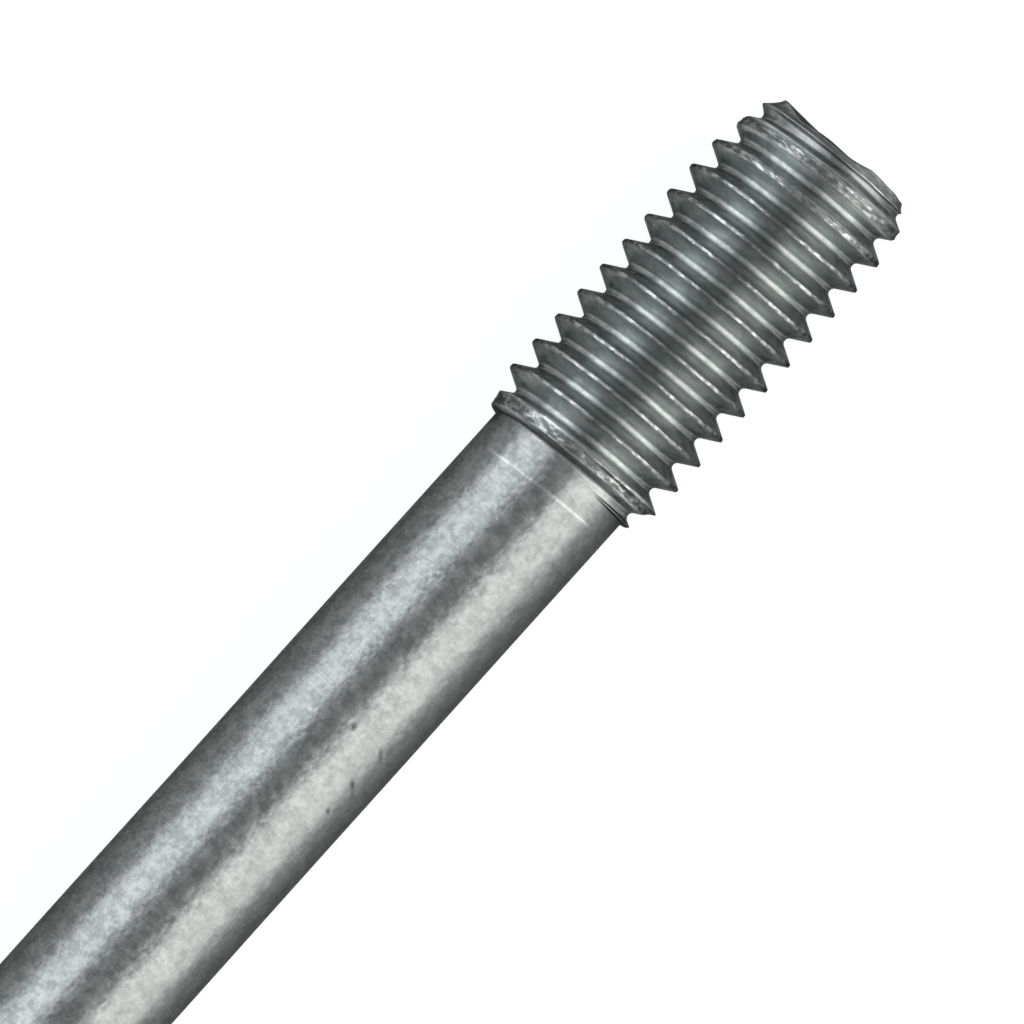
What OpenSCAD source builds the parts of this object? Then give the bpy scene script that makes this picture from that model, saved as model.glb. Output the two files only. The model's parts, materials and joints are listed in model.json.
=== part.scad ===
// Cylinder stud: one turned bar with a rolled thread at each end and a slimmer plain shank between.
// It lies along X with the nut end at +X, and rests on the crests of its two threads at z = 0.

/* [Stud] */
// Length from end face to end face
overall_len = 125; // [60:1:240]
// Diameter of the plain shank between the threads
shank_d = 6.22; // [5:0.02:6.9]

/* [Thread] */
// Outside diameter over the thread crests
crest_d = 7.76; // [7.4:0.02:8.2]
// Distance from one crest to the next
pitch = 1.25; // [1:0.05:1.5]
// Number of flat steps in one turn of the thread
turn_steps = 24; // [16:4:28]

/* [Nut end] */
// Length of the nut thread, from its end face to the shoulder's flat face
nut_thread_len = 15.8; // [8:0.05:24]
// Direction in which the nut thread's crest reaches the end face, round the axis from straight up
nut_start_angle = 326; // [0:1:359]

/* [Case end] */
// Length of the case thread, from its end face to the shoulder's flat face
case_thread_len = 18; // [8:0.05:24]
// Direction in which the case thread's crest reaches the end face, round the axis from straight up
case_start_angle = 60; // [0:1:359]

/* [Lead-in] */
// How far the edge of each end face lies below the full crests, on the radius
face_drop = 0.93; // [0.85:0.01:1.6]
// Length of the steep chamfer at each end face
chamfer_len = 0.5; // [0.3:0.05:0.8]
// How far the end of the steep chamfer lies below the full crests
chamfer_drop = 0.48; // [0.35:0.01:0.6]
// Distance from each end face to the middle of the blunt first crests
blunt_len = 1.2; // [0.9:0.05:1.6]
// How far the blunt first crests lie below the full crests there
blunt_drop = 0.2; // [0.1:0.01:0.3]
// Distance from each end face at which the lead-in ends
lead_in_len = 3.2; // [1.8:0.05:5]

/* [Shoulder] */
// Length over which the last crest sinks to the land
fade_len = 0.5; // [0.1:0.05:0.8]
// How far the plain land where each thread runs out lies below the full crests
land_drop = 0.32; // [0.2:0.01:0.4]
// Length of the land, up to the shoulder's flat face
land_len = 0.8; // [0.5:0.01:1.2]
// Length over which the land is rounded off towards the shoulder's edge
land_round_len = 0.4; // [0.1:0.05:0.45]
// How far the land is rounded off there, on the radius
land_round_drop = 0.14; // [0.02:0.01:0.2]
// Length inside each thread over which the shank is swaged down to below the thread's roots
swage_len = 1.2; // [0.6:0.1:2]

/* [Hidden] */
$fn = 96;

// Thread form: flanks at 30 degrees, and a crest, a depth and a rounded root that follow the pitch
flank_angle = 30;
crest_flat = 0.08 * pitch;
thread_depth = 0.648 * pitch;
root_round_rise = 0.104 * pitch;
flank_run = (thread_depth - root_round_rise) * tan(flank_angle);

crest_r = crest_d / 2;
root_r = crest_r - thread_depth;
shank_r = shank_d / 2;
land_r = crest_r - land_drop;
axis_z = crest_r;

// The flats of a turn touch the true radii at their middles, so their corners stand a little further out
step_angle = 360 / turn_steps;
corner_stretch = 1 / cos(step_angle / 2);

// How far the uncut parts stay clear of a surface that they must not meet
clearance = 0.1;

// One turn as [distance along the axis, radius], from a crest's near edge to the far side of the root
TURN = [
    [-crest_flat / 2, crest_r],
    [crest_flat / 2, crest_r],
    [crest_flat / 2 + flank_run, root_r + root_round_rise],
    [pitch / 2, root_r],
    [pitch - crest_flat / 2 - flank_run, root_r + root_round_rise],
];
TURN_POINTS = len(TURN);

// A point of the helix, at a step round the axis and at a point of the turn
function helix_point(step, j, start_z) =
    let (
        angle = (step + 0.5) * step_angle,
        r = TURN[j][1] * corner_stretch,
        z = start_z + pitch * angle / 360 + TURN[j][0]
    )
    [r * cos(angle), r * sin(angle), z];

// Right-hand thread along +Z that reaches past both ends of the length it is cut to.
// In the direction of angle 0 a crest lies at crest_z, and the others whole pitches from it.
module thread_bar(length, crest_z) {
    spare_turns = 2;
    steps = turn_steps * (ceil(length / pitch) + 2 * spare_turns);
    start_z = crest_z - spare_turns * pitch;
    end_z = start_z + pitch * (steps / turn_steps + 1);
    rim_start = (steps + 1) * TURN_POINTS;
    low_pole = rim_start + turn_steps;
    high_pole = low_pole + 1;

    // Index of a point: past the last step only the crest's near edge is left, as the upper rim
    function at(step, j) =
        j == TURN_POINTS ? at(step + turn_steps, 0)
        : step <= steps ? step * TURN_POINTS + j
        : rim_start + step - steps - 1;

    points = concat(
        [for (step = [0:steps], j = [0:TURN_POINTS - 1]) helix_point(step, j, start_z)],
        [for (step = [steps + 1:steps + turn_steps]) helix_point(step, 0, start_z)],
        [[0, 0, start_z - pitch], [0, 0, end_z + pitch]]
    );
    near_halves = [for (step = [0:steps - 1], j = [0:TURN_POINTS - 1])
        [at(step, j), at(step, j + 1), at(step + 1, j + 1)]];
    far_halves = [for (step = [0:steps - 1], j = [0:TURN_POINTS - 1])
        [at(step, j), at(step + 1, j + 1), at(step + 1, j)]];
    low_end = concat(
        [for (step = [0:turn_steps - 1]) [low_pole, at(step, 0), at(step + 1, 0)]],
        [for (j = [0:TURN_POINTS - 1]) [low_pole, at(0, j + 1), at(0, j)]]
    );
    high_end = concat(
        [for (step = [steps:steps + turn_steps - 1]) [high_pole, at(step + 1, 0), at(step, 0)]],
        [for (j = [0:TURN_POINTS - 1]) [high_pole, at(steps, j), at(steps, j + 1)]]
    );
    polyhedron(points, concat(near_halves, far_halves, low_end, high_end), convexity = 12);
}

// Round form that bounds a threaded end: chamfered face, blunt first crests, land and flat shoulder
module end_envelope(thread_len) {
    land_start = thread_len - land_len;
    rotate_extrude()
        polygon([
            [0, 0],
            [crest_r - face_drop, 0],
            [crest_r - chamfer_drop, chamfer_len],
            [crest_r - blunt_drop, blunt_len],
            [crest_r + clearance, lead_in_len],
            [crest_r + clearance, land_start - fade_len],
            [land_r, land_start],
            [land_r, thread_len - land_round_len],
            [land_r - land_round_drop, thread_len],
            [0, thread_len],
        ]);
}

// A threaded end along +Z, from its end face at z = 0 to the shoulder's flat face
module threaded_end(thread_len, start_angle) {
    intersection() {
        thread_bar(thread_len, -pitch * start_angle / 360);
        end_envelope(thread_len);
    }
}

// Plain shank along +Z. Its swaged ends lie inside the threads, so that a thread's last groove runs
// out smoothly on the shank.
module shank() {
    low_z = nut_thread_len - clearance;
    high_z = overall_len - case_thread_len + clearance;
    swaged_r = root_r - clearance;
    rotate_extrude()
        polygon([
            [0, low_z - swage_len],
            [swaged_r, low_z - swage_len],
            [shank_r, low_z],
            [shank_r, high_z],
            [swaged_r, high_z + swage_len],
            [0, high_z + swage_len],
        ]);
}

module stud() {
    color([0.55, 0.58, 0.58])
        translate([overall_len / 2, 0, axis_z])
            rotate([0, -90, 0])
                union() {
                    threaded_end(nut_thread_len, nut_start_angle);
                    shank();
                    translate([0, 0, overall_len])
                        rotate([180, 0, 0])
                            threaded_end(case_thread_len, case_start_angle);
                }
}

stud();
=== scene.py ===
"""Cylinder stud: the finished look of one rolled and turned steel bar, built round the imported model.

The bar lies along X with its nut end at +X. Lengths in the classes are in millimetres, and the meshes
are turned to metres when they are made.
"""

import json
import logging
import math
from dataclasses import dataclass, field
from enum import Enum

import bpy
import numpy as np
from mathutils import Matrix, Vector


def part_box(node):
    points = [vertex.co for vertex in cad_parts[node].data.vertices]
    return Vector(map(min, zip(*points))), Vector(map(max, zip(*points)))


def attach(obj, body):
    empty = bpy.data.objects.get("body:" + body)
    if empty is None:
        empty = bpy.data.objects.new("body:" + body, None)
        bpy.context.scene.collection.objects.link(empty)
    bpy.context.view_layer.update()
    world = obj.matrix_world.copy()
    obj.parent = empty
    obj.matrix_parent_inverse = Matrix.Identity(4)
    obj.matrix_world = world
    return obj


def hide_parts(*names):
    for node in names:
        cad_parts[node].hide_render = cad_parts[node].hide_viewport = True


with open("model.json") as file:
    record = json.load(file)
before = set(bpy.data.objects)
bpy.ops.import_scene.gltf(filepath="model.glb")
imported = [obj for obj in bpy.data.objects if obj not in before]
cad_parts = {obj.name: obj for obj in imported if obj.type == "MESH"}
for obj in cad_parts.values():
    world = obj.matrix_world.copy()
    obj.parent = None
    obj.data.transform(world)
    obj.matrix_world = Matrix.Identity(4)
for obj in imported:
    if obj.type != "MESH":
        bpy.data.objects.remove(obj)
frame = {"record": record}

LOG = logging.getLogger("cylinder_stud")

MM = 0.001
FULL_TURN = 2 * math.pi
# How far a form that bounds the thread stands clear of its full crests, in millimetres
CLEARANCE = 0.05

Grid = np.ndarray
Socket = bpy.types.NodeSocket
Span = tuple[float, float]
Colour = tuple[float, float, float, float]


class End(Enum):
    """The two ends of the stud, by the direction of X in which each one faces."""

    NUT = 1
    CASE = -1


class Zone(Enum):
    """Names of the point attributes that tell the steel's finish where it is on the bar."""

    BARE = "bare_share"
    CREST = "crest_share"
    TORN = "torn_share"
    DRAWN = "drawn_share"


# --- Shapes, worked out as whole arrays ---


def smooth_step(x: Grid, start: float, end: float) -> Grid:
    """Rises smoothly from 0 at start to 1 at end, as 3t^2 - 2t^3 of the share t of the way."""
    t = np.clip((x - start) / (end - start), 0.0, 1.0)
    return t * t * (3.0 - 2.0 * t)


def soft_least(a: Grid, b: Grid, blend: float) -> Grid:
    """The lesser of two surfaces, rounded beside the line where they cross.

    It is the mean less half of hypot(gap, blend), which rounds the corner off, plus half the blend
    times exp(-gap / blend), which lifts the corner's middle back to where the two cross.

    Args:
        a: One surface.
        b: The other.
        blend: How wide the rounding is.

    Returns:
        The rounded surface.
    """
    gap = np.abs(a - b)
    rounded = 0.5 * (a + b - np.sqrt(gap**2 + blend**2))
    return rounded + 0.5 * blend * np.exp(-gap / blend)


@dataclass(frozen=True)
class Ripple:
    """Unevenness round and along the bar: a sum of slanted cosine waves with random phases.

    Each wave has a whole number of swings in a turn, so the sum closes on itself round the bar.
    """

    seed: int
    waves: int
    most_round: int
    most_along: float

    def height(self, d: Grid, a: Grid) -> Grid:
        """Height of the ripple, with a spread of about 1.

        Args:
            d: Distance from the end face.
            a: Direction round the axis.

        Returns:
            The ripple's height at each point.
        """
        draw = np.random.default_rng(self.seed)
        total = np.zeros(np.broadcast(d, a).shape)
        for _ in range(self.waves):
            swings = draw.integers(1, self.most_round + 1)
            along = draw.uniform(-self.most_along, self.most_along)
            total += np.cos(swings * a + along * d + draw.uniform(0, FULL_TURN))
        return total * math.sqrt(2.0 / self.waves)


@dataclass(frozen=True)
class ThreadForm:
    """Section of the rolled thread: a narrow rounded crest, straight flanks and a wide root arc."""

    crest_radius: float
    pitch: float = 1.25
    crest_flat: float = 0.036
    crest_round: float = 0.045
    root_round: float = 0.2
    flank_lean: float = math.radians(60)
    bare_off_crest: Span = (-0.04, 0.13)
    lost_in_root: Span = (-0.03, 0.18)
    root_loss: float = 0.93
    samples: int = 4001
    turning_weight: float = 0.9

    @property
    def crest_end(self) -> float:
        """Distance from a crest's middle at which its rounded edge meets the flank."""
        return self.crest_flat + self.crest_round * math.sin(self.flank_lean)

    @property
    def root_start(self) -> float:
        """Distance from a crest's middle at which the flank meets the root's arc."""
        return self.pitch / 2 - self.root_round * math.sin(self.flank_lean)

    @property
    def full_depth(self) -> float:
        """Depth of the root below the crest: the two arcs' heights and the flank's between them."""
        arcs = (self.crest_round + self.root_round) * (1 - math.cos(self.flank_lean))
        return arcs + math.tan(self.flank_lean) * (self.root_start - self.crest_end)

    def depth(self, x: Grid) -> Grid:
        """Depth of the surface below the crest: a flat, an arc, a straight flank and the root's arc.

        Args:
            x: Distance along the bar from the nearest crest's middle.

        Returns:
            The depth at each x.
        """
        near = np.abs(x)
        past_flat = np.maximum(near - self.crest_flat, 0)
        crest = self.crest_round - np.sqrt(np.maximum(self.crest_round**2 - past_flat**2, 0))
        flank_start = self.crest_round * (1 - math.cos(self.flank_lean))
        flank = flank_start + math.tan(self.flank_lean) * (near - self.crest_end)
        from_root = np.maximum(self.root_round**2 - (self.pitch / 2 - near) ** 2, 0)
        root = self.full_depth - self.root_round + np.sqrt(from_root)
        return np.select([near < self.crest_end, near < self.root_start], [crest, flank], root)

    def flank(self, x: Grid) -> Grid:
        """Share of bare flank at distances x from a crest: none on the crest, little in the root.

        Args:
            x: Distance along the bar from the nearest crest's middle.

        Returns:
            The share at each x.
        """
        past_crest = np.abs(x) - self.crest_end
        past_flank = np.abs(x) - self.root_start
        off_crest = smooth_step(past_crest, *self.bare_off_crest)
        into_root = smooth_step(past_flank, *self.lost_in_root)
        return off_crest * (1 - self.root_loss * into_root)

    def rows(self, count: int) -> Grid:
        """Places of the grid's rows in one turn, closest where the section bends most.

        The rows have equal shares of the section's length and turning taken together.

        Args:
            count: Number of rows in one turn.

        Returns:
            Distances from the crest's middle, from half a pitch before it to half a pitch after.
        """
        fine = np.linspace(-self.pitch / 2, self.pitch / 2, self.samples)
        slope = np.arctan(np.gradient(self.depth(fine), fine))
        length = np.hypot(np.diff(fine), np.diff(self.depth(fine)))
        turning = self.turning_weight * np.abs(np.diff(slope))
        share = np.concatenate([[0], np.cumsum(length + turning)])
        wanted = np.linspace(0, share[-1], count, endpoint=False)
        return np.interp(wanted, share, fine)


@dataclass(frozen=True)
class LeadIn:
    """Tapered start of a thread, whose first crests were never rolled full."""

    face_radius: float = 2.85
    ridge_radius: float = 3.3
    face_rise: float = -0.1
    ridge_place: float = 0.9
    rise_start: float = -1.43
    rise_end: float = 4.33
    head_start: float = 0.55
    late_side: float = math.radians(80)

    def radius(self, d: Grid, a: Grid, crest_radius: float) -> Grid:
        """Largest radius at each point: one smooth rise to the first ridge, then one to the full crests.

        Args:
            d: Distance from the end face.
            a: Direction round the axis.
            crest_radius: Radius of the full crests.

        Returns:
            The lead-in's radius at each point.
        """
        first = smooth_step(d, self.face_rise, self.ridge_place)
        sooner = self.head_start * (1 - np.cos(a - self.late_side)) / 2
        second = smooth_step(d + sooner, self.rise_start, self.rise_end)
        to_ridge = (self.ridge_radius - self.face_radius) * first
        to_crests = (crest_radius + CLEARANCE - self.ridge_radius) * second
        return self.face_radius + to_ridge + to_crests


@dataclass(frozen=True)
class Shoulder:
    """End of a thread at the shank: a sunken land and the step from it down to the shank."""

    fade_start: float = 1.15
    land_start: float = 0.75
    land_drop: float = 0.31
    round_start: float = 0.4
    round_end: float = 0.05
    round_drop: float = 0.12
    step_lead: float = 0.03
    step_length: float = 0.17
    meet_length: float = 0.25
    swage_drop: float = 0.05
    kept_excess: Span = (0.06, 0.24)

    def radius(self, d: Grid, thread_length: float, crest_radius: float) -> Grid:
        """Largest radius of the thread near the shoulder, as two smooth falls one after the other.

        Args:
            d: Distance from the end face.
            thread_length: Distance of the shoulder's flat face.
            crest_radius: Radius of the full crests.

        Returns:
            The bounding radius at each point.
        """
        beyond = d - thread_length
        fade = smooth_step(beyond, -self.fade_start, -self.land_start)
        rounding = smooth_step(beyond, -self.round_start, self.round_end)
        sunk = (self.land_drop + CLEARANCE) * fade
        return crest_radius + CLEARANCE - sunk - self.round_drop * rounding

    def fall(self, d: Grid, thread_length: float) -> Grid:
        """Share of the way down the step from the thread to the shank, by distance from the end face."""
        return smooth_step(d, thread_length - self.step_lead, thread_length + self.step_length)

    def meeting(self, d: Grid, thread_length: float) -> Grid:
        """Share to which the thread's last groove has met the shank, by distance from the end face."""
        return smooth_step(d, thread_length - self.meet_length, thread_length)

    def settle(self, radius: Grid, meets: Grid, shank_radius: float) -> Grid:
        """Brings the last groove down to the shank as it meets it, but leaves what stands well above.

        Args:
            radius: The radius so far.
            meets: Share to which the groove has met the shank.
            shank_radius: Radius of the shank.

        Returns:
            The radius, never under the shank where the groove has met it.
        """
        lowest = shank_radius - self.swage_drop * (1 - meets)
        radius = np.where(meets > 0, np.maximum(radius, lowest), radius)
        excess = np.maximum(radius - shank_radius, 0)
        return radius - excess * meets * (1 - smooth_step(excess, *self.kept_excess))


@dataclass(frozen=True)
class Rim:
    """Edge of an end face, sheared off with one wide hollow, a slant and a slight unevenness."""

    hollow_depth: float = 0.24
    hollow_lean: float = 0.4
    hollow_start: float = math.radians(-28)
    hollow_full: float = math.radians(-5)
    hollow_fade: float = math.radians(38)
    hollow_end: float = math.radians(72)
    slant: float = 0.03
    unevenness: float = 0.01
    corner: float = 0.06
    reach: float = 0.8

    def wave(self, a: Grid, seed: int) -> Grid:
        """How far the rim stands back in each direction, with a smooth step at both sides of the hollow.

        Args:
            a: Direction round the axis.
            seed: Seed of its unevenness.

        Returns:
            The setback in each direction.
        """
        away = np.angle(np.exp(1j * a))
        into = smooth_step(away, self.hollow_start, self.hollow_full)
        out_of = smooth_step(away, self.hollow_fade, self.hollow_end)
        hollow = self.hollow_depth * (into - out_of) * (1 + self.hollow_lean * np.sin(away))
        slant = self.slant * (1 + np.sin(away))
        ripple = Ripple(seed, waves=6, most_round=14, most_along=0.0).height(np.zeros_like(a), a)
        return np.clip(hollow + slant + self.unevenness * ripple, 0.0, None)

    def shift(self, d: Grid, a: Grid, seed: int) -> Grid:
        """How far the thread's first rows move back with the rim, dying out a little way from it."""
        return (self.wave(a, seed) + self.corner) * np.maximum(1 - d / self.reach, 0) ** 2


@dataclass(frozen=True)
class Rolling:
    """How unevenly a thread was rolled: depths and lengths in millimetres."""

    wander: float = 0.008
    bend: float = 0.13
    bend_fade: Span = (0.5, 1.2)
    chip_depth: float = 0.007
    chip_reach: float = 0.05
    lip_share: float = 0.3
    lip_depth: float = 0.06
    lip_cut: Span = (0.03, 0.15)
    ragged_lips: float = 0.1
    ragged_depth: float = 0.003
    ragged_cut: Span = (0.05, 0.2)
    rounding: float = 0.02
    more_rounding: float = 0.04
    rounding_fade: Span = (0.6, 1.6)

    def lips(self, x: Grid, cut: Grid, form: ThreadForm) -> Grid:
        """Hollow between a short crest's two lips: a parabola, deeper the more of the crest is cut.

        Args:
            x: Distance along the bar from the nearest crest's middle.
            cut: How far the crest stops below its full height.
            form: The thread's section.

        Returns:
            The hollow's depth at each point.
        """
        half = form.crest_end + np.maximum(cut, 0) / math.tan(form.flank_lean)
        hollow = np.maximum(1 - (x / half) ** 2, 0)
        depth = np.minimum(self.lip_share * half, self.lip_depth)
        return depth * hollow * smooth_step(cut, *self.lip_cut)

    def blend(self, d: Grid) -> Grid:
        """How widely crests that were cut short are rounded, by distance from the end face."""
        return self.rounding + self.more_rounding * (1 - smooth_step(d, *self.rounding_fade))


@dataclass(frozen=True)
class Wear:
    """Where a threaded end is burnished, torn and bare: spans in millimetres, the rest as shares."""

    lip_width: float = 0.03
    lip_cut: Span = (0.02, 0.1)
    lip_place: Span = (0.3, 0.7)
    top_depth: float = 0.05
    top_cut: Span = (0.1, 0.25)
    torn_cut: Span = (0.06, 0.16)
    torn_place: Span = (0.4, 0.8)
    torn_at_rim: float = 0.45
    torn_face: float = 0.3
    dull_groove: float = 0.7
    dull_place: Span = (0.5, 1.3)
    bare_rim: float = 0.8
    bare_place: Span = (0.3, 0.5)

    def uncut(self, past: Grid) -> Grid:
        """Share of the surface that is as rolled, by how far it would stand out of its bound."""
        return 1 - smooth_step(past, -self.lip_width, self.lip_width)

    def crest(self, d: Grid, cut: Grid, past: Grid, below: Grid) -> Grid:
        """Share of burnished crest: the tops of full crests and both lips of those that were cut short.

        Args:
            d: Distance from the end face.
            cut: How far the crest stops below its full height.
            past: How far the thread as rolled would stand out of its bound.
            below: Depth below the highest that the surface may be.

        Returns:
            The share at each point.
        """
        lip = np.exp(-np.abs(past) / self.lip_width) * smooth_step(cut, *self.lip_cut)
        lip = lip * smooth_step(d, *self.lip_place)
        top = np.exp(-below / self.top_depth) * (1 - smooth_step(cut, *self.top_cut))
        return np.maximum(top, lip)

    def torn(self, d: Grid, cut: Grid, past: Grid) -> Grid:
        """Share of torn top between the lips of a crest that was cut short, less of it at the rim."""
        at_rim = self.torn_at_rim + (1 - self.torn_at_rim) * smooth_step(d, *self.torn_place)
        return (1 - self.uncut(past)) * smooth_step(cut, *self.torn_cut) * at_rim

    def bare(self, d: Grid, flank: Grid) -> Grid:
        """Share of bare steel: the flanks, duller in the first groove, and the rim.

        Args:
            d: Distance from the end face.
            flank: Share of flank.

        Returns:
            The share at each point.
        """
        first_groove = self.dull_groove * (1 - smooth_step(d, *self.dull_place))
        rim = self.bare_rim * (1 - smooth_step(d, *self.bare_place))
        return np.maximum(flank * (1 - first_groove), rim)


@dataclass(frozen=True)
class Surface:
    """Radius of a threaded end at each point, and the shares of zone that its finish asks for."""

    radius: Grid
    shares: dict[Zone, Grid]


@dataclass(frozen=True)
class ThreadedEnd:
    """One threaded end of the bar, as a grid whose rows follow the helix.

    The rows start together at one point of the end face's rim, open out to one pitch in the first
    turn, and close again to one point at the shoulder, so the first and last rows are plain rings.
    """

    form: ThreadForm
    length: float
    start_angle: float
    shank_radius: float
    seed: int
    columns: int
    rows_a_turn: int = 26
    seam_angle: float = math.pi
    least_gap: float = 0.004
    lead_in: LeadIn = LeadIn()
    shoulder: Shoulder = Shoulder()
    rim: Rim = Rim()
    rolling: Rolling = Rolling()
    wear: Wear = Wear()

    def crest_place(self, a: Grid) -> Grid:
        """Distance from the end face at which a crest lies in each direction round the axis."""
        return self.form.pitch * (a - math.radians(self.start_angle)) / FULL_TURN

    def from_crest(self, d: Grid, a: Grid) -> Grid:
        """Distance along the bar from the nearest crest's middle.

        The crests wander a little, and the first one bends towards the face on one side.

        Args:
            d: Distance from the end face.
            a: Direction round the axis.

        Returns:
            The distance at each point, up to half a pitch either way.
        """
        pitch = self.form.pitch
        ripple = Ripple(self.seed + 1, waves=10, most_round=7, most_along=1.2).height(d, a)
        near_face = 1 - smooth_step(d, *self.rolling.bend_fade)
        bent = self.rolling.bend * near_face * (1 + np.cos(a - self.lead_in.late_side)) / 2
        turns = (d + self.rolling.wander * ripple + bent - self.crest_place(a)) / pitch
        return pitch * (turns - np.round(turns))

    def rolled(self, d: Grid, a: Grid, x: Grid) -> Grid:
        """Radius of the full thread at distances x from its crests, with small chips along them.

        Args:
            d: Distance from the end face.
            a: Direction round the axis.
            x: Distance along the bar from the nearest crest's middle.

        Returns:
            The radius at each point.
        """
        depth = self.form.depth(x)
        ripple = Ripple(self.seed + 2, waves=30, most_round=24, most_along=2.0).height(d, a)
        chips = self.rolling.chip_depth * np.abs(ripple) * np.exp(-depth / self.rolling.chip_reach)
        return self.form.crest_radius - depth - chips

    def bound(self, d: Grid, a: Grid, x: Grid) -> tuple[Grid, Grid]:
        """Form that bounds the thread: the lead-in and the land, hollowed between torn lips.

        Args:
            d: Distance from the end face.
            a: Direction round the axis.
            x: Distance along the bar from the nearest crest's middle.

        Returns:
            The bound's radius, and how far it cuts the crests short before it is hollowed.
        """
        rolling = self.rolling
        lead = self.lead_in.radius(d, a, self.form.crest_radius)
        land = self.shoulder.radius(d, self.length, self.form.crest_radius)
        limit = np.minimum(lead, land)
        cut = self.form.crest_radius - limit
        ragged = Ripple(self.seed + 3, waves=50, most_round=36, most_along=9.0).height(d, a)
        limit = limit - rolling.lips(x, cut, self.form) * (1 + rolling.ragged_lips * ragged)
        limit = limit - rolling.ragged_depth * smooth_step(cut, *rolling.ragged_cut) * ragged
        return limit, cut

    def surface(self, d: Grid, a: Grid) -> Surface:
        """The lesser of thread and bound, brought down to the shank at the shoulder.

        Args:
            d: Distance from the end face.
            a: Direction round the axis.

        Returns:
            The surface at each point.
        """
        x = self.from_crest(d, a)
        full = self.rolled(d, a, x)
        limit, cut = self.bound(d, a, x)
        radius = soft_least(full, limit, self.rolling.blend(d))
        fall = self.shoulder.fall(d, self.length)
        meets = self.shoulder.meeting(d, self.length)
        radius = radius * (1 - fall) + self.shank_radius * fall
        radius = self.shoulder.settle(radius, meets, self.shank_radius)

        past = full - limit
        below = np.maximum(np.minimum(limit, self.form.crest_radius) - radius, 0)
        flank = self.form.flank(x) * self.wear.uncut(past) * (1 - meets)
        shares = {
            Zone.CREST: self.wear.crest(d, cut, past, below) * (1 - fall),
            Zone.TORN: self.wear.torn(d, cut, past) * (1 - fall),
            Zone.BARE: self.wear.bare(d, flank),
        }
        return Surface(radius, shares)

    def grid_starts(self) -> Grid:
        """Where each row leaves the seam: at the face, at the section's own rows, then at the shoulder.

        Returns:
            Distances from the end face, in order.
        """
        pitch = self.form.pitch
        first = self.crest_place(np.array(self.seam_angle)) % pitch
        turns = np.arange(-2, math.ceil(self.length / pitch) + 2)
        places = (first + self.form.rows(self.rows_a_turn)[None, :] + turns[:, None] * pitch).ravel()
        inside = places[(places > self.least_gap) & (places < self.length - self.least_gap)]
        return np.concatenate([np.zeros(self.rows_a_turn + 1), inside, [self.length]])

    def points(self) -> tuple[Grid, Grid]:
        """Distance along and direction round of every grid point, as rows by columns plus one.

        A row's distance runs evenly from its own start to that of the row one turn further on.

        Returns:
            The distances from the end face and the directions round the axis.
        """
        starts = self.grid_starts()
        turn = self.rows_a_turn
        next_turn = np.concatenate([starts[turn:], np.full(turn, starts[-1])])
        share = np.arange(self.columns + 1) / self.columns
        d = starts[:, None] + (next_turn - starts)[:, None] * share[None, :]
        a = self.seam_angle + FULL_TURN * np.broadcast_to(share[None, :], d.shape)
        return d, a


def close_round(numbers: Grid) -> Grid:
    """Repeats the first column of a grid of point numbers at its end, so that its rows close."""
    return np.concatenate([numbers, numbers[:, :1]], axis=1)


class Skin:
    """A closed mesh in the making: its points, their attributes and its triangles."""

    def __init__(self) -> None:
        """Starts an empty skin."""
        self.places: list[Grid] = []
        self.zones: dict[Zone, list[Grid]] = {zone: [] for zone in Zone}
        self.triangles: list[Grid] = []
        self.count = 0

    def add_points(self, places: Grid, shares: dict[Zone, Grid | float]) -> Grid:
        """Adds points and returns their numbers.

        Args:
            places: Points in millimetres, as an array whose last axis is x, y, z.
            shares: Share of each zone, as one number or one a point. A zone left out is 0.

        Returns:
            The new points' numbers, in the shape of the points.
        """
        shape = places.shape[:-1]
        total = int(np.prod(shape))
        self.places.append(places.reshape(-1, 3))
        for zone in Zone:
            self.zones[zone].append(np.broadcast_to(shares.get(zone, 0.0), shape).reshape(-1))
        numbers = self.count + np.arange(total).reshape(shape)
        self.count += total
        return numbers

    def add_quads(self, numbers: Grid, flip: bool = False) -> None:
        """Covers a grid of point numbers with triangles, leaving out those that have lost a side.

        Args:
            numbers: Point numbers, rows by columns. Faces point along columns crossed with rows.
            flip: Turns the faces over.
        """
        near, far = numbers[:-1], numbers[1:]
        a, b, c, e = near[:, :-1], near[:, 1:], far[:, 1:], far[:, :-1]
        triangles = np.concatenate([
            np.stack([a, b, c], -1).reshape(-1, 3),
            np.stack([a, c, e], -1).reshape(-1, 3),
        ])
        whole = (
            (triangles[:, 0] != triangles[:, 1])
            & (triangles[:, 1] != triangles[:, 2])
            & (triangles[:, 2] != triangles[:, 0])
        )
        triangles = triangles[whole]
        self.triangles.append(triangles[:, ::-1] if flip else triangles)

    def make(self, name: str) -> bpy.types.Object:
        """Turns the skin into a Blender object with smooth shading and its zones as attributes.

        Args:
            name: Name of the piece.

        Returns:
            The new object, at the origin.
        """
        places = np.concatenate(self.places) * MM
        triangles = np.concatenate(self.triangles)
        mesh = bpy.data.meshes.new(name)
        mesh.vertices.add(len(places))
        mesh.vertices.foreach_set("co", places.astype(np.float32).ravel())
        mesh.loops.add(triangles.size)
        mesh.loops.foreach_set("vertex_index", triangles.astype(np.int32).ravel())
        mesh.polygons.add(len(triangles))
        mesh.polygons.foreach_set("loop_start", np.arange(0, triangles.size, 3, dtype=np.int32))
        mesh.update(calc_edges=True)
        mesh.polygons.foreach_set("use_smooth", np.ones(len(triangles), bool))
        for zone, parts in self.zones.items():
            attribute = mesh.attributes.new(zone.value, "FLOAT", "POINT")
            attribute.data.foreach_set("value", np.concatenate(parts).astype(np.float32))
        mesh.validate()
        piece = bpy.data.objects.new(name, mesh)
        bpy.context.scene.collection.objects.link(piece)
        return piece


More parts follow.
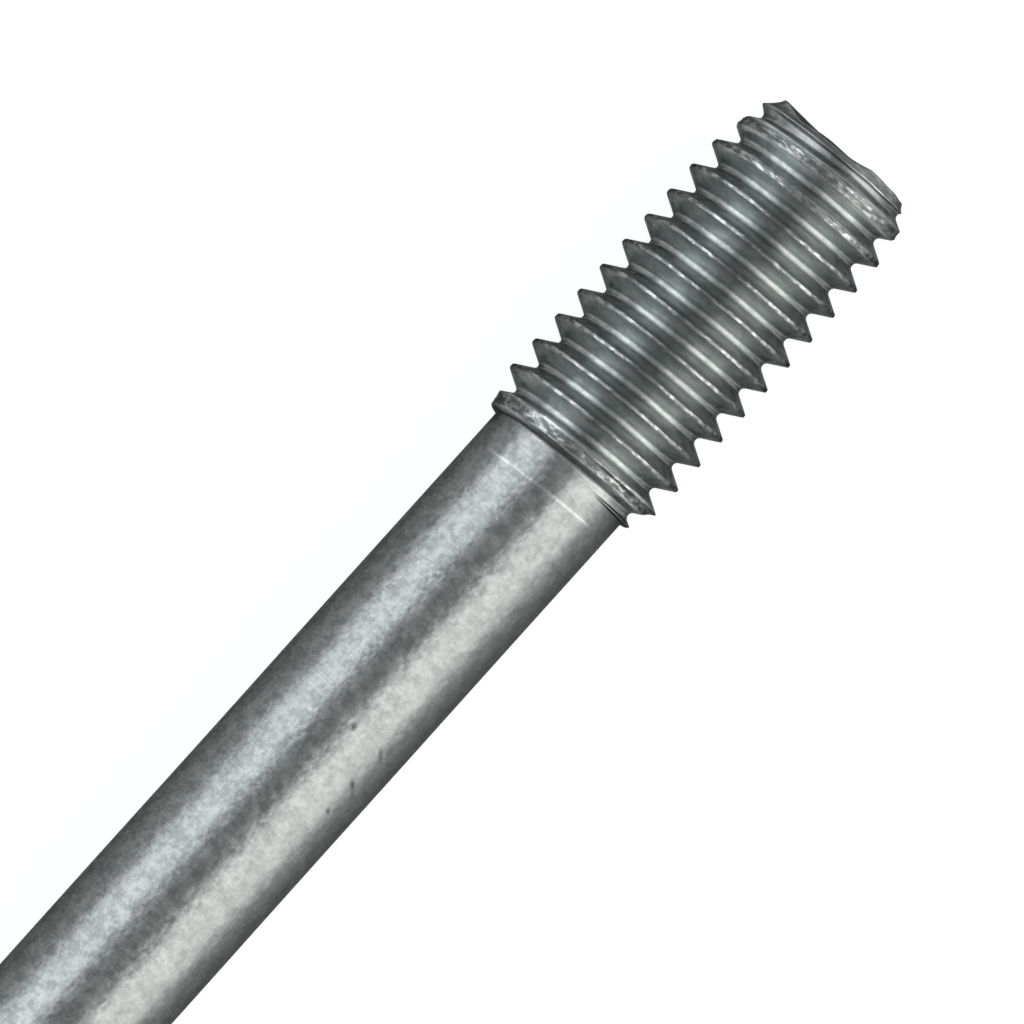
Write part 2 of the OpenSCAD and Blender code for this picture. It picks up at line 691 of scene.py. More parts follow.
@dataclass(frozen=True)
class Nick:
    """A small dark nick in the shank, long and narrow, leaning across the bar."""

    place: float
    direction: float
    length: float = 0.42
    width: float = 0.16
    lean: float = math.radians(-52)
    reach: float = 0.3

    def mapping(self, stud: "CylinderStud") -> Matrix:
        """Move, turn and stretch, in metres, that put a ball of radius 1 where the nick is.

        Args:
            stud: The bar it is in.

        Returns:
            The mapping from the ball's space into the piece's.
        """
        at = np.array([self.direction])
        middle = Vector(stud.place(End.NUT, np.array([self.place]), at, np.array([stud.shank.radius]))[0])
        outward = Vector((0.0, math.sin(self.direction), math.cos(self.direction)))
        round_bar = Vector((0.0, math.cos(self.direction), -math.sin(self.direction)))
        towards_case = Vector((-1.0, 0.0, 0.0))
        along = towards_case * math.cos(self.lean) + round_bar * math.sin(self.lean)
        across = outward.cross(along)
        turn = Matrix((along, across, outward)).transposed().to_4x4()
        stretch = Matrix.Diagonal((self.length * MM, self.width * MM, self.reach * MM, 1.0))
        return Matrix.Translation(middle * MM) @ turn @ stretch


@dataclass(frozen=True)
class RingMark:
    """A faint raised mark round the top of the shank, rubbed bright, near the nut end's shoulder."""

    place: float = 17.0
    slant: float = 0.22
    width: float = 0.05
    height: float = 0.003
    arc: Span = (0.6, 0.8)
    bare: float = 0.38

    def share(self, d: Grid, a: Grid) -> Grid:
        """How much of the mark there is at each point: all on its own line and none away from it."""
        from_line = (d - self.place - self.slant * np.sin(a)) / self.width
        return np.exp(-(from_line**2)) * smooth_step(np.cos(a), *self.arc)


@dataclass(frozen=True)
class Shank:
    """The plain middle of the bar: its radius, its slight waviness and where its rings lie."""

    radius: float = 3.105
    waviness: float = 0.004
    wave_seed: int = 5
    ring_step: float = 0.02
    shoulder_reach: float = 0.15
    settle: tuple[float, ...] = (0.2, 0.3, 0.5)
    mark_reach: float = 0.5
    mark_step: float = 0.04
    margin: float = 0.8
    plain_rings: int = 84
    zone_length: float = 1.0
    mark: RingMark = RingMark()

    def rings(self, near: float, far: float) -> Grid:
        """Places of the shank's rings between two shoulders: close at the shoulders and at the mark.

        Args:
            near: Distance of the nut end's shoulder from the nut end's face.
            far: Distance of the case end's shoulder from there.

        Returns:
            Distances from the nut end's face.
        """
        shoulder = np.arange(self.ring_step, self.shoulder_reach, self.ring_step)
        settle = np.array(self.settle)
        middle = self.mark.place
        mark = np.arange(middle - self.mark_reach, middle + self.mark_reach, self.mark_step)
        plain = np.linspace(middle + self.margin, far - self.margin, self.plain_rings)
        nut_side = [near + shoulder, near + settle, mark]
        case_side = [far - settle[::-1], far - shoulder[::-1]]
        return np.concatenate([*nut_side, plain, *case_side])

    def unevenness(self, d: Grid, a: Grid) -> Grid:
        """How far the surface stands off the true radius at each point."""
        waves = Ripple(self.wave_seed, waves=16, most_round=6, most_along=0.5).height(d, a)
        return self.mark.height * self.mark.share(d, a) + self.waviness * waves


@dataclass(frozen=True)
class CylinderStud:
    """The whole bar: two threaded ends and the plain shank between them, in one closed skin."""

    length: float
    axis_height: float
    crest_radius: float
    thread_lengths: dict[End, float]
    start_angles: dict[End, float] = field(default_factory=lambda: {End.NUT: 326.0, End.CASE: 60.0})
    seeds: dict[End, int] = field(default_factory=lambda: {End.NUT: 11, End.CASE: 47})
    rolled_under: float = 0.01
    columns: int = 104
    corner_steps: int = 4
    face_rings: tuple[float, ...] = (0.97, 0.9, 0.78, 0.6, 0.42, 0.24, 0.1)
    face_unevenness: float = 0.02
    shank: Shank = Shank()
    nicks: tuple[Nick, ...] = (
        Nick(28.24, math.radians(-13.3), length=0.24),
        Nick(28.3, math.radians(-45.5)),
        Nick(29.83, math.radians(-44.6)),
        Nick(31.15, math.radians(-44), length=0.24),
    )

    @classmethod
    def from_frame(cls) -> "CylinderStud":
        """Takes the bar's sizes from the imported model's box and its thread mounts.

        Returns:
            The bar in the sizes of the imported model.
        """
        low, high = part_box("stud")
        mounts = {mount["name"]: mount["dims"] for mount in frame["record"]["mounts"]}
        return cls(
            length=(high.x - low.x) / MM,
            axis_height=(high.z + low.z) / 2 / MM,
            crest_radius=(high.z - low.z) / 2 / MM,
            thread_lengths={
                End.NUT: mounts["nut_thread"]["length_mm"],
                End.CASE: mounts["case_thread"]["length_mm"],
            },
        )

    def place(self, end: End, d: Grid, a: Grid, radius: Grid) -> Grid:
        """Turns places on the bar into points, in millimetres. The case end is turned half round.

        Args:
            end: The end that d is measured from.
            d: Distance from the end face.
            a: Direction round the axis from straight up.
            radius: Distance from the axis.

        Returns:
            The points, as x, y, z.
        """
        side = end.value
        x = side * (self.length / 2 - d)
        y = side * radius * np.sin(a)
        z = self.axis_height + radius * np.cos(a)
        return np.stack(np.broadcast_arrays(x, y, z), -1)

    def threaded_end(self, end: End) -> ThreadedEnd:
        """The threaded end of that name, with its own helix and its own unevenness.

        Args:
            end: Which end.

        Returns:
            That end's shape.
        """
        return ThreadedEnd(
            form=ThreadForm(crest_radius=self.crest_radius - self.rolled_under),
            length=self.thread_lengths[end],
            start_angle=self.start_angles[end],
            shank_radius=self.shank.radius,
            seed=self.seeds[end],
            columns=self.columns,
        )

    def ring_directions(self, part: ThreadedEnd) -> Grid:
        """Directions round the axis of a ring's points, from the seam once round, as one row."""
        return part.seam_angle + FULL_TURN * np.arange(self.columns)[None, :] / self.columns

    def add_thread(self, skin: Skin, end: End) -> tuple[Grid, Grid]:
        """Adds a threaded end, from its rim to the ring at its shoulder.

        Args:
            skin: The skin to add to.
            end: Which end.

        Returns:
            Point numbers of the rim and of the shoulder's ring, closed on themselves.
        """
        part = self.threaded_end(end)
        d, a = part.points()
        surface = part.surface(d, a)
        points = self.place(end, d + part.rim.shift(d, a, part.seed), a, surface.radius)
        turn = part.rows_a_turn
        last = d.shape[0] - 1
        keep = np.s_[:, :-1]
        shares = {zone: share[keep] for zone, share in surface.shares.items()}
        numbers = skin.add_points(points[keep], shares)
        numbers[: turn + 1, 0] = numbers[0, 0]
        seam = numbers[np.minimum(np.arange(last + 1) + turn, last), 0]
        closed = np.concatenate([numbers, seam[:, None]], axis=1)
        skin.add_quads(closed)
        return closed[0], closed[-1]

    def add_face(self, skin: Skin, end: End, rim: Grid) -> None:
        """Closes an end face: a quarter round, rings that follow the rim less and less, and a middle.

        Args:
            skin: The skin to add to.
            end: Which end.
            rim: Point numbers of the rim.
        """
        part = self.threaded_end(end)
        corner = part.rim.corner
        a = self.ring_directions(part)
        rim_radius = part.surface(np.zeros_like(a), a).radius
        wave = part.rim.wave(a, part.seed)
        flat_depth = float(wave.mean())

        turn = np.radians(90.0 * np.arange(1, self.corner_steps + 1) / self.corner_steps)[:, None]
        corner_radius = rim_radius - corner * (1 - np.cos(turn))
        corner_depth = wave + corner * (1 - np.sin(turn))

        shares = np.array(self.face_rings)[:, None]
        face_radius = (rim_radius - corner) * shares
        face_depth = flat_depth + (wave - flat_depth) * shares**3
        uneven = Ripple(part.seed + 5, waves=12, most_round=5, most_along=0.0).height(face_depth, a)
        face_depth = face_depth + self.face_unevenness * uneven * np.sin(np.pi * shares)

        radius = np.concatenate([corner_radius, face_radius])
        d = np.maximum(np.concatenate([corner_depth, face_depth]), 0.0)
        face = {Zone.TORN: part.wear.torn_face}
        rings = close_round(skin.add_points(self.place(end, d, a, radius), face))
        on_axis = np.zeros(1)
        middle = self.place(end, np.array([flat_depth]), on_axis, on_axis)
        centre = skin.add_points(middle, face)
        centre_row = np.full((1, self.columns + 1), centre[0])
        skin.add_quads(np.concatenate([rim[None, :], rings, centre_row]), flip=True)

    def add_shank(self, skin: Skin, nut_ring: Grid, case_ring: Grid) -> None:
        """Adds the shank between the two shoulders, with a faint rolled ring mark near the nut end.

        Args:
            skin: The skin to add to.
            nut_ring: Point numbers of the nut end's shoulder ring.
            case_ring: Point numbers of the case end's shoulder ring.
        """
        nut = self.threaded_end(End.NUT)
        case = self.threaded_end(End.CASE)
        far = self.length - case.length
        places = self.shank.rings(nut.length, far)
        a = self.ring_directions(nut)
        d = np.broadcast_to(places[:, None], (len(places), self.columns))
        # A little way past its shoulder each thread's own surface is the plain shank
        past_step = 1.5
        from_nut = nut.surface(np.minimum(d, nut.length + past_step), a).radius
        from_case = case.surface(np.minimum(self.length - d, case.length + past_step), -a).radius
        radius = np.where(d < self.length / 2, from_nut, from_case) + self.shank.unevenness(d, a)
        from_shoulder = np.minimum(d - nut.length, far - d)
        shares = {
            Zone.BARE: self.shank.mark.bare * self.shank.mark.share(d, a),
            Zone.DRAWN: smooth_step(from_shoulder, 0.0, self.shank.zone_length),
        }
        rings = close_round(skin.add_points(self.place(End.NUT, d, a, radius), shares))
        # The case end counts its columns the other way round, from the same seam
        turned = case_ring[::-1]
        skin.add_quads(np.concatenate([nut_ring[None, :], rings, turned[None, :]]))

    def build(self) -> bpy.types.Object:
        """Builds the whole bar as one closed piece and gives it its finish.

        Returns:
            The finished piece.
        """
        skin = Skin()
        nut_rim, nut_ring = self.add_thread(skin, End.NUT)
        case_rim, case_ring = self.add_thread(skin, End.CASE)
        self.add_face(skin, End.NUT, nut_rim)
        self.add_face(skin, End.CASE, case_rim)
        self.add_shank(skin, nut_ring, case_ring)
        piece = skin.make("cylinder_stud")
        nicks = [nick.mapping(self) for nick in self.nicks]
        piece.data.materials.append(SteelFinish().build(nicks))
        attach(piece, "root")
        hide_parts("stud")
        return piece


# --- Finish ---


@dataclass(frozen=True)
class Noise:
    """One noise pattern in the steel, with so many clouds a metre and that share of them round the bar.

    What lies in a pattern's span goes to its two values, and the rest is held at them.
    """

    clouds: float
    detail: float = 2.0
    roughness: float = 0.5
    round_bar: float = 1.0
    span: Span | None = None
    values: Span = (0.0, 1.0)


class Bench:
    """Lays out the nodes of one tree and wires them up."""

    def __init__(self, tree: bpy.types.NodeTree) -> None:
        """Clears the tree to work on."""
        self.tree = tree
        tree.nodes.clear()

    def add(self, kind: str, **settings: object) -> bpy.types.Node:
        """Adds a node of that kind and sets its properties.

        Args:
            kind: The node's type.
            settings: Values of its properties, by name.

        Returns:
            The new node.
        """
        node = self.tree.nodes.new(kind)
        for key, value in settings.items():
            setattr(node, key, value)
        return node

    def feed(self, socket: Socket, value: Socket | float | tuple) -> None:
        """Wires a socket to another one, or sets it to a plain value.

        Args:
            socket: The input to feed.
            value: Where it comes from, or what it is.
        """
        if isinstance(value, bpy.types.NodeSocket):
            self.tree.links.new(value, socket)
        else:
            socket.default_value = value

    def maths(self, operation: str, a: Socket, b: Socket | float = 0.0, clamp: bool = False) -> Socket:
        """One step of arithmetic on two values.

        Args:
            operation: The step's name.
            a: First value.
            b: Second value.
            clamp: Holds the result between 0 and 1.

        Returns:
            The result.
        """
        node = self.add("ShaderNodeMath", operation=operation, use_clamp=clamp)
        self.feed(node.inputs[0], a)
        self.feed(node.inputs[1], b)
        return node.outputs[0]

    def remap(self, value: Socket, low: float, high: float, to_low: float, to_high: float) -> Socket:
        """Moves a value from one range to another, held within it.

        Args:
            value: The value to move.
            low: Start of the range it comes from.
            high: End of that range.
            to_low: Start of the range it goes to.
            to_high: End of that range.

        Returns:
            The moved value.
        """
        node = self.add("ShaderNodeMapRange", clamp=True)
        for socket, number in zip(node.inputs, (value, low, high, to_low, to_high)):
            self.feed(socket, number)
        return node.outputs[0]

    def blend(self, share: Socket, a: Socket | float, b: Socket | float) -> Socket:
        """Goes from value a to value b by a share.

        Args:
            share: How far from a to b.
            a: Value at share 0.
            b: Value at share 1.

        Returns:
            The value between them.
        """
        node = self.add("ShaderNodeMix", data_type="FLOAT")
        for index, number in zip((0, 2, 3), (share, a, b)):
            self.feed(node.inputs[index], number)
        return node.outputs[0]

    def tint(self, share: Socket, a: Socket | tuple, b: Socket | tuple) -> Socket:
        """Goes from colour a to colour b by a share.

        Args:
            share: How far from a to b.
            a: Colour at share 0.
            b: Colour at share 1.

        Returns:
            The colour between them.
        """
        node = self.add("ShaderNodeMix", data_type="RGBA")
        for index, colour in zip((0, 6, 7), (share, a, b)):
            self.feed(node.inputs[index], colour)
        return node.outputs[2]


class PieceBench(Bench):
    """A bench for the finish of a piece, whose patterns lie in the piece's own space."""

    def __init__(self, tree: bpy.types.NodeTree) -> None:
        """Clears the tree and reads the place on the piece."""
        super().__init__(tree)
        self.place = self.add("ShaderNodeTexCoord").outputs["Object"]

    def ball(self, mapping: Matrix) -> Socket:
        """Share that is 1 at the middle of a stretched ball and 0 at its skin.

        Args:
            mapping: Turns the round ball into the stretched one.

        Returns:
            The share at the place.
        """
        middle, turn, size = mapping.decompose()
        node = self.add("ShaderNodeMapping", vector_type="TEXTURE")
        self.feed(node.inputs["Vector"], self.place)
        node.inputs["Location"].default_value = middle
        node.inputs["Rotation"].default_value = turn.to_euler()
        node.inputs["Scale"].default_value = size
        length = self.add("ShaderNodeVectorMath", operation="LENGTH")
        self.feed(length.inputs[0], node.outputs["Vector"])
        return self.remap(length.outputs["Value"], 0.0, 1.0, 1.0, 0.0)

    def noise(self, kind: Noise) -> Socket:
        """Reads one noise pattern at a place.

        Args:
            kind: The pattern.

        Returns:
            Its value at the place.
        """
        vector = self.place
        if kind.round_bar != 1.0:
            mapping = self.add("ShaderNodeMapping", vector_type="POINT")
            self.feed(mapping.inputs["Vector"], vector)
            mapping.inputs["Scale"].default_value = (1.0, kind.round_bar, kind.round_bar)
            vector = mapping.outputs["Vector"]
        node = self.add("ShaderNodeTexNoise", noise_dimensions="3D")
        self.feed(node.inputs["Vector"], vector)
        node.inputs["Scale"].default_value = kind.clouds
        node.inputs["Detail"].default_value = kind.detail
        node.inputs["Roughness"].default_value = kind.roughness
        if kind.span is None:
            return node.outputs[0]
        return self.remap(node.outputs[0], *kind.span, *kind.values)

    def zone(self, zone: Zone) -> Socket:
        """Reads one of the skin's own zones."""
        node = self.add("ShaderNodeAttribute", attribute_type="GEOMETRY", attribute_name=zone.value)
        return node.outputs["Fac"]


@dataclass(frozen=True)
class SteelFinish:
    """Drawn steel under a thin dark film that also darkens reflections towards the edges as painted
    shade: satin and speckled on the shank, burnished on the crests.
    """

    dark: Colour = (0.518, 0.554, 0.548, 1.0)
    light: Colour = (0.783, 0.826, 0.814, 1.0)
    flank_dark: Colour = (0.308, 0.332, 0.327, 1.0)
    flank_light: Colour = (0.402, 0.43, 0.422, 1.0)
    torn: Colour = (0.16, 0.17, 0.168, 1.0)
    nick: Colour = (0.156, 0.165, 0.165, 1.0)
    unworn: Colour = (0.386, 0.412, 0.412, 1.0)
    burnished: Colour = (0.84, 0.857, 0.849, 1.0)
    # The rolled thread's near-black edge tint is painted shade: it darkens the thread's reflections at
    # grazing angles.
    rolled_painted_edge_shade: Colour = (0.05, 0.05, 0.05, 1.0)
    drawn_grazing: Colour = (0.9, 0.9, 0.9, 1.0)
    # The film's weights and tint are partly the steel's dark film and partly painted shade: they darken
    # reflections at grazing angles, towards the bar's edges.
    film_and_painted_edge_shade: float = 0.91
    worn_film_and_painted_edge_shade: float = 0.8
    film_and_painted_edge_shade_tint: Colour = (0.215, 0.215, 0.215, 1.0)
    film_index: float = 1.01
    film_gloss: float = 0.4
    torn_film_and_painted_edge_shade: float = 0.6
    shank_gloss: float = 0.355
    flank_gloss: float = 0.34
    torn_gloss: float = 0.45
    burnished_gloss: float = 0.27
    grain_height: float = 0.006
    swell_height: float = 0.022
    flank_relief: float = 0.3
    nick_depth: float = 0.01
    patchy_side: Span = (-0.002, 0.002)
    patchiness: Span = (0.5, 1.0)
    contrast: float = 2.6
    cloud_share: float = 1.35
    streak_share: float = 0.5
    flank_gain: float = 1.4
    clouds: Noise = Noise(1800.0, roughness=0.6)
    patches: Noise = Noise(4500.0, roughness=0.7)
    streaks: Noise = Noise(13000.0, detail=1.0, round_bar=0.12)
    dashes: Noise = Noise(5000.0, detail=3.0, roughness=0.6, round_bar=0.5, span=(0.44, 0.58))
    torn_streaks: Noise = Noise(6500.0, 2.0, 0.6, round_bar=0.35, span=(0.47, 0.68), values=(0.0, 0.6))
    flecks: Noise = Noise(7500.0, detail=1.0, span=(0.62, 0.72), values=(0.0, 0.4))
    nick_edge: Noise = Noise(6000.0, span=(0.3, 0.6), values=(0.6, 1.0))
    gloss_patches: Noise = Noise(2600.0, detail=3.0, span=(0.3, 0.7), values=(-0.05, 0.05))
    grain: Noise = Noise(8000.0, detail=3.0, roughness=0.6)
    swell: Noise = Noise(2600.0, detail=1.0)

    def build(self, nicks: list[Matrix]) -> bpy.types.Material:
        """Makes the material.

        Args:
            nicks: Where the nicks are, each as the mapping of a ball of radius 1.

        Returns:
            Metal whose colour, roughness and relief all come from noise in the piece's own space.
        """
        material = bpy.data.materials.new("bare_steel")
        material.use_nodes = True
        bench = PieceBench(material.node_tree)
        bare = bench.zone(Zone.BARE)
        torn = bench.zone(Zone.TORN)
        burnish = self.burnish(bench, torn)
        nicked = self.nicked(bench, nicks)

        shader = bench.add("ShaderNodeBsdfPrincipled")
        shader.inputs["Metallic"].default_value = 1.0
        # Edge tint of the metal: painted shade on the rolled thread, near neutral on the drawn shank.
        edge_tint_and_painted_shade = bench.tint(bench.zone(Zone.DRAWN), self.rolled_painted_edge_shade, self.drawn_grazing)
        bench.feed(shader.inputs["Specular Tint"], edge_tint_and_painted_shade)
        # The coat's dark tint is partly the film's tone and partly painted shade, which darkens the bar's
        # edges at grazing angles.
        shader.inputs["Coat Tint"].default_value = self.film_and_painted_edge_shade_tint
        shader.inputs["Coat IOR"].default_value = self.film_index
        shader.inputs["Coat Roughness"].default_value = self.film_gloss
        film_and_painted_edge_shade = bench.blend(burnish, self.film_and_painted_edge_shade, self.worn_film_and_painted_edge_shade)
        film_and_painted_edge_shade = bench.blend(torn, bench.blend(bare, film_and_painted_edge_shade, 0.0), self.torn_film_and_painted_edge_shade)
        bench.feed(shader.inputs["Coat Weight"], film_and_painted_edge_shade)
        colour = self.colour(bench, bare, torn, burnish)
        bench.feed(shader.inputs["Base Color"], bench.tint(nicked, colour, self.nick))
        bench.feed(shader.inputs["Roughness"], self.roughness(bench, bare, torn, burnish))
        bench.feed(shader.inputs["Normal"], self.relief(bench, nicked))
        output = bench.add("ShaderNodeOutputMaterial")
        bench.feed(output.inputs["Surface"], shader.outputs["BSDF"])
        return material

    def unevenness(self, bench: PieceBench) -> Socket:
        """How patchy the steel is round the bar: most on the side towards +Y, half of that opposite.

        Args:
            bench: Lays out the nodes.

        Returns:
            The share by which patterns swing.
        """
        parts = bench.add("ShaderNodeSeparateXYZ")
        bench.feed(parts.inputs[0], bench.place)
        return bench.remap(parts.outputs["Y"], *self.patchy_side, *self.patchiness)

    def nicked(self, bench: PieceBench, nicks: list[Matrix]) -> Socket:
        """Share of nick at each place, ragged at its edge.

        Args:
            bench: Lays out the nodes.
            nicks: Mappings of the nicks.

        Returns:
            The share at the place.
        """
        share: Socket | float = 0.0
        for nick in nicks:
            share = bench.maths("MAXIMUM", bench.ball(nick), share)
        return bench.maths("MULTIPLY", share, bench.noise(self.nick_edge), clamp=True)

    def burnish(self, bench: PieceBench, torn: Socket) -> Socket:
        """Share of bright worn steel: broken dashes along crests and lips, and flecks elsewhere.

        Args:
            bench: Lays out the nodes.
            torn: Share of torn top.

        Returns:
            The share at the place.
        """
        dashes = bench.noise(self.dashes)
        along_crest = bench.maths("MULTIPLY", bench.zone(Zone.CREST), dashes)
        on_torn = bench.maths("MULTIPLY", torn, bench.noise(self.torn_streaks))
        flecks = bench.noise(self.flecks)
        flecks = bench.maths("MULTIPLY", flecks, self.unevenness(bench))
        flecks = bench.maths("MULTIPLY", flecks, bench.zone(Zone.DRAWN))
        return bench.maths("MAXIMUM", bench.maths("MAXIMUM", along_crest, on_torn), flecks)

    def colour(self, bench: PieceBench, bare: Socket, torn: Socket, burnish: Socket) -> Socket:
        """Mottled grey between a dark and a light steel, darker where torn and lighter where burnished.

        The mottling adds clouds, small patches and thin streaks round the bar.

        Args:
            bench: Lays out the nodes.
            bare: Share of bare flank.
            torn: Share of torn top.
            burnish: Share of bright worn steel.

        Returns:
            The colour of the metal.
        """
        clouds = bench.noise(self.clouds)
        patches = bench.noise(self.patches)
        streaks = bench.noise(self.streaks)
        total = bench.maths("ADD", bench.maths("MULTIPLY", clouds, self.cloud_share), patches)
        total = bench.maths("ADD", total, bench.maths("MULTIPLY", streaks, self.streak_share))
        middle = (self.cloud_share + 1.0 + self.streak_share) / 2
        swing = bench.maths("MULTIPLY", bench.maths("SUBTRACT", total, middle), self.contrast)
        swing = bench.maths("MULTIPLY", swing, self.unevenness(bench))
        share = bench.maths("ADD", swing, 0.5, clamp=True)
        steel = bench.tint(share, self.dark, self.light)
        on_flank = bench.maths("MULTIPLY", bare, self.flank_gain, clamp=True)
        steel = bench.tint(on_flank, steel, bench.tint(share, self.flank_dark, self.flank_light))
        steel = bench.tint(torn, bench.tint(bench.zone(Zone.CREST), steel, self.unworn), self.torn)
        return bench.tint(burnish, steel, self.burnished)

    def roughness(self, bench: PieceBench, bare: Socket, torn: Socket, burnish: Socket) -> Socket:
        """Satin on the shank, smoother on the flanks and rough where torn, in small patches.

        Args:
            bench: Lays out the nodes.
            bare: Share of bare flank.
            torn: Share of torn top.
            burnish: Share of bright worn steel.

        Returns:
            The roughness of the metal.
        """
        patches = bench.noise(self.gloss_patches)
        zones = bench.blend(bare, self.shank_gloss, self.flank_gloss)
        zones = bench.blend(burnish, bench.blend(torn, zones, self.torn_gloss), self.burnished_gloss)
        return bench.maths("ADD", zones, patches)

    def relief(self, bench: PieceBench, nicked: Socket) -> Socket:
        """Grain, a slow swell and the nicks, in millimetres: full on the drawn shank, and where torn.

        Args:
            bench: Lays out the nodes.
            nicked: Share of nick.

        Returns:
            The bent normal.
        """
        coarse = bench.maths("MAXIMUM", bench.zone(Zone.DRAWN), bench.zone(Zone.TORN))
        coarse = bench.blend(coarse, self.flank_relief, 1.0)
        grain = bench.maths("MULTIPLY", bench.noise(self.grain), self.grain_height)
        swell = bench.maths("MULTIPLY", bench.noise(self.swell), self.swell_height)
        bump = bench.add("ShaderNodeBump")
        bump.inputs["Strength"].default_value = 1.0
        bump.inputs["Distance"].default_value = MM
        rough = bench.maths("MULTIPLY", bench.maths("ADD", grain, swell), coarse)
        sunk = bench.maths("MULTIPLY", nicked, self.nick_depth)
        bench.feed(bump.inputs["Height"], bench.maths("SUBTRACT", rough, sunk))
        return bump.outputs["Normal"]


# --- Studio and camera ---


@dataclass(frozen=True)
class Softbox:
    """A long soft lamp beside the bar, parallel to it and facing it."""

    name: str
    side: int
    upper_lean: float
    lower_lean: float
    radiance: float
    colour: tuple[float, float, float]
    distance: float = 0.8
    length: float = 1.4

    def build(self, target: Vector) -> bpy.types.Object:
        """Makes the lamp, which fills the sky between two leans from straight up.

        Args:
            target: The point it faces.

        Returns:
            The lamp object.
        """
        middle = math.radians(self.upper_lean + self.lower_lean) / 2
        half = math.radians(self.lower_lean - self.upper_lean) / 2
        height = 2 * self.distance * math.tan(half)
        lamp = bpy.data.lights.new(self.name, "AREA")
        lamp.shape = "RECTANGLE"
        lamp.size = self.length
        lamp.size_y = height
        lamp.color = self.colour
        lamp.energy = self.radiance * math.pi * self.length * height
        lamp_object = bpy.data.objects.new(self.name, lamp)
        out = Vector((0.0, self.side * math.sin(middle), math.cos(middle)))
        lamp_object.location = target + out * self.distance
        across = Vector((1.0, 0.0, 0.0))
        up = out.cross(across)
        lamp_object.matrix_world = Matrix.Translation(lamp_object.location) @ Matrix(
            (across, up, out)
        ).transposed().to_4x4()
        lamp_object.visible_camera = False
        bpy.context.scene.collection.objects.link(lamp_object)
        return lamp_object


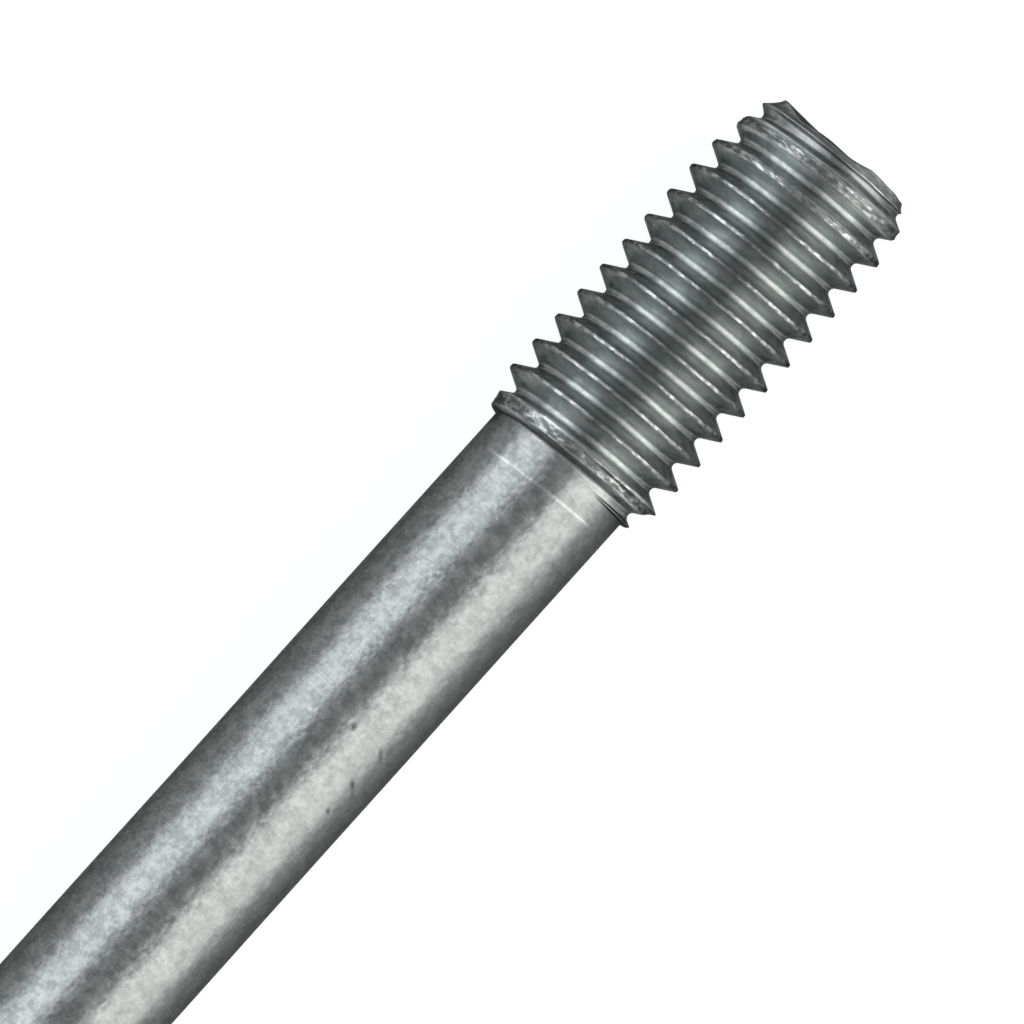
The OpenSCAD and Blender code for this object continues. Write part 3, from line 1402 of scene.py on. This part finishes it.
@dataclass(frozen=True)
class Studio:
    """Pale floor, two soft lamps and an even sky that is darker overhead."""

    floor_size: float = 8.0
    floor_colour: Colour = (0.28, 0.28, 0.28, 1.0)
    floor_glow: float = 0.72
    sky_low: float = 0.85
    sky_high: float = 0.5
    sky_rise: float = 0.5
    left: Softbox = Softbox("left_softbox", 1, 25.0, 75.0, 3.25, (0.96, 1.0, 1.01))
    right: Softbox = Softbox("right_softbox", -1, 26.5, 88.0, 3.4, (1.02, 1.0, 0.98))

    def build(self, target: Vector) -> None:
        """Sets the floor, the lamps and the sky round a point.

        Args:
            target: The point that the lamps face.
        """
        self.floor()
        self.left.build(target)
        self.right.build(target)
        self.sky()
        bpy.context.scene.view_settings.view_transform = "Standard"

    def floor(self) -> bpy.types.Object:
        """A flat sheet under the bar, white to the eye and in reflections, that keeps shadows.

        Returns:
            The sheet.
        """
        half = self.floor_size / 2
        mesh = bpy.data.meshes.new("floor")
        corners = [(-half, -half, 0.0), (half, -half, 0.0), (half, half, 0.0), (-half, half, 0.0)]
        mesh.from_pydata(corners, [], [(0, 1, 2, 3)])
        material = bpy.data.materials.new("pale_floor")
        material.use_nodes = True
        bench = Bench(material.node_tree)
        matt = bench.add("ShaderNodeBsdfDiffuse")
        matt.inputs["Color"].default_value = self.floor_colour
        rays = bench.add("ShaderNodeLightPath").outputs
        seen = bench.maths("MAXIMUM", rays["Is Camera Ray"], rays["Is Glossy Ray"])
        seen = bench.maths("MAXIMUM", seen, rays["Is Transmission Ray"])
        glow = bench.add("ShaderNodeEmission")
        bench.feed(glow.inputs["Strength"], bench.maths("MULTIPLY", seen, self.floor_glow))
        both = bench.add("ShaderNodeAddShader")
        bench.feed(both.inputs[0], matt.outputs[0])
        bench.feed(both.inputs[1], glow.outputs[0])
        output = bench.add("ShaderNodeOutputMaterial")
        bench.feed(output.inputs["Surface"], both.outputs[0])
        mesh.materials.append(material)
        sheet = bpy.data.objects.new("floor", mesh)
        bpy.context.scene.collection.objects.link(sheet)
        return sheet

    def sky(self) -> None:
        """Light from all round, pale at the horizon and darker overhead."""
        world = bpy.data.worlds.new("studio_sky")
        bpy.context.scene.world = world
        world.use_nodes = True
        bench = Bench(world.node_tree)
        direction = bench.add("ShaderNodeTexCoord").outputs["Generated"]
        parts = bench.add("ShaderNodeSeparateXYZ")
        bench.feed(parts.inputs[0], direction)
        strength = bench.remap(parts.outputs["Z"], 0.0, self.sky_rise, self.sky_low, self.sky_high)
        background = bench.add("ShaderNodeBackground")
        bench.feed(background.inputs["Strength"], strength)
        output = bench.add("ShaderNodeOutputWorld")
        bench.feed(output.inputs["Surface"], background.outputs[0])


@dataclass(frozen=True)
class Viewpoint:
    """A long lens high above the nut end, which sees the bar climb to the right across the frame."""

    frame_width: float = 38.02
    distance: float = 900.0
    from_end: float = 18.225
    aside: float = 0.19
    tip: float = math.radians(3.3)
    climb: float = math.radians(48.06)
    sensor: float = 36.0
    nearest: float = 0.01
    farthest: float = 20.0

    def target(self, stud: CylinderStud) -> Vector:
        """The point on the bar's axis at the middle of the frame, in metres."""
        return Vector((stud.length / 2 - self.from_end, self.aside, stud.axis_height)) * MM

    def build(self, stud: CylinderStud) -> bpy.types.Object:
        """Makes the camera and hands it to the scene.

        Args:
            stud: The bar that it looks at.

        Returns:
            The camera object.
        """
        look = Vector((math.sin(self.tip), 0.0, -math.cos(self.tip)))
        along = Vector((math.cos(self.tip), 0.0, math.sin(self.tip)))
        aside = look.cross(along)
        right = math.cos(self.climb) * along + math.sin(self.climb) * aside
        up = math.sin(self.climb) * along - math.cos(self.climb) * aside
        camera = bpy.data.cameras.new("camera")
        camera.sensor_width = self.sensor
        camera.lens = self.sensor * self.distance / self.frame_width
        camera.clip_start = self.nearest
        camera.clip_end = self.farthest
        camera_object = bpy.data.objects.new("camera", camera)
        turn = Matrix((right, up, -look)).transposed().to_4x4()
        middle = self.target(stud) - look * self.distance * MM
        camera_object.matrix_world = Matrix.Translation(middle) @ turn
        bpy.context.scene.collection.objects.link(camera_object)
        bpy.context.scene.camera = camera_object
        return camera_object


def main() -> None:
    """Builds the bar, its finish, the studio and the camera in order, and reports each piece."""
    logging.basicConfig(level=logging.INFO, format="%(name)s: %(message)s")
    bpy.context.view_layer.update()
    stud = CylinderStud.from_frame()
    piece = stud.build()
    LOG.info("%s: %d triangles", piece.name, len(piece.data.polygons))
    viewpoint = Viewpoint()
    Studio().build(viewpoint.target(stud))
    camera = viewpoint.build(stud)
    LOG.info("%s: lens %.0f mm", camera.name, camera.data.lens)


if __name__ == "__main__":
    main()
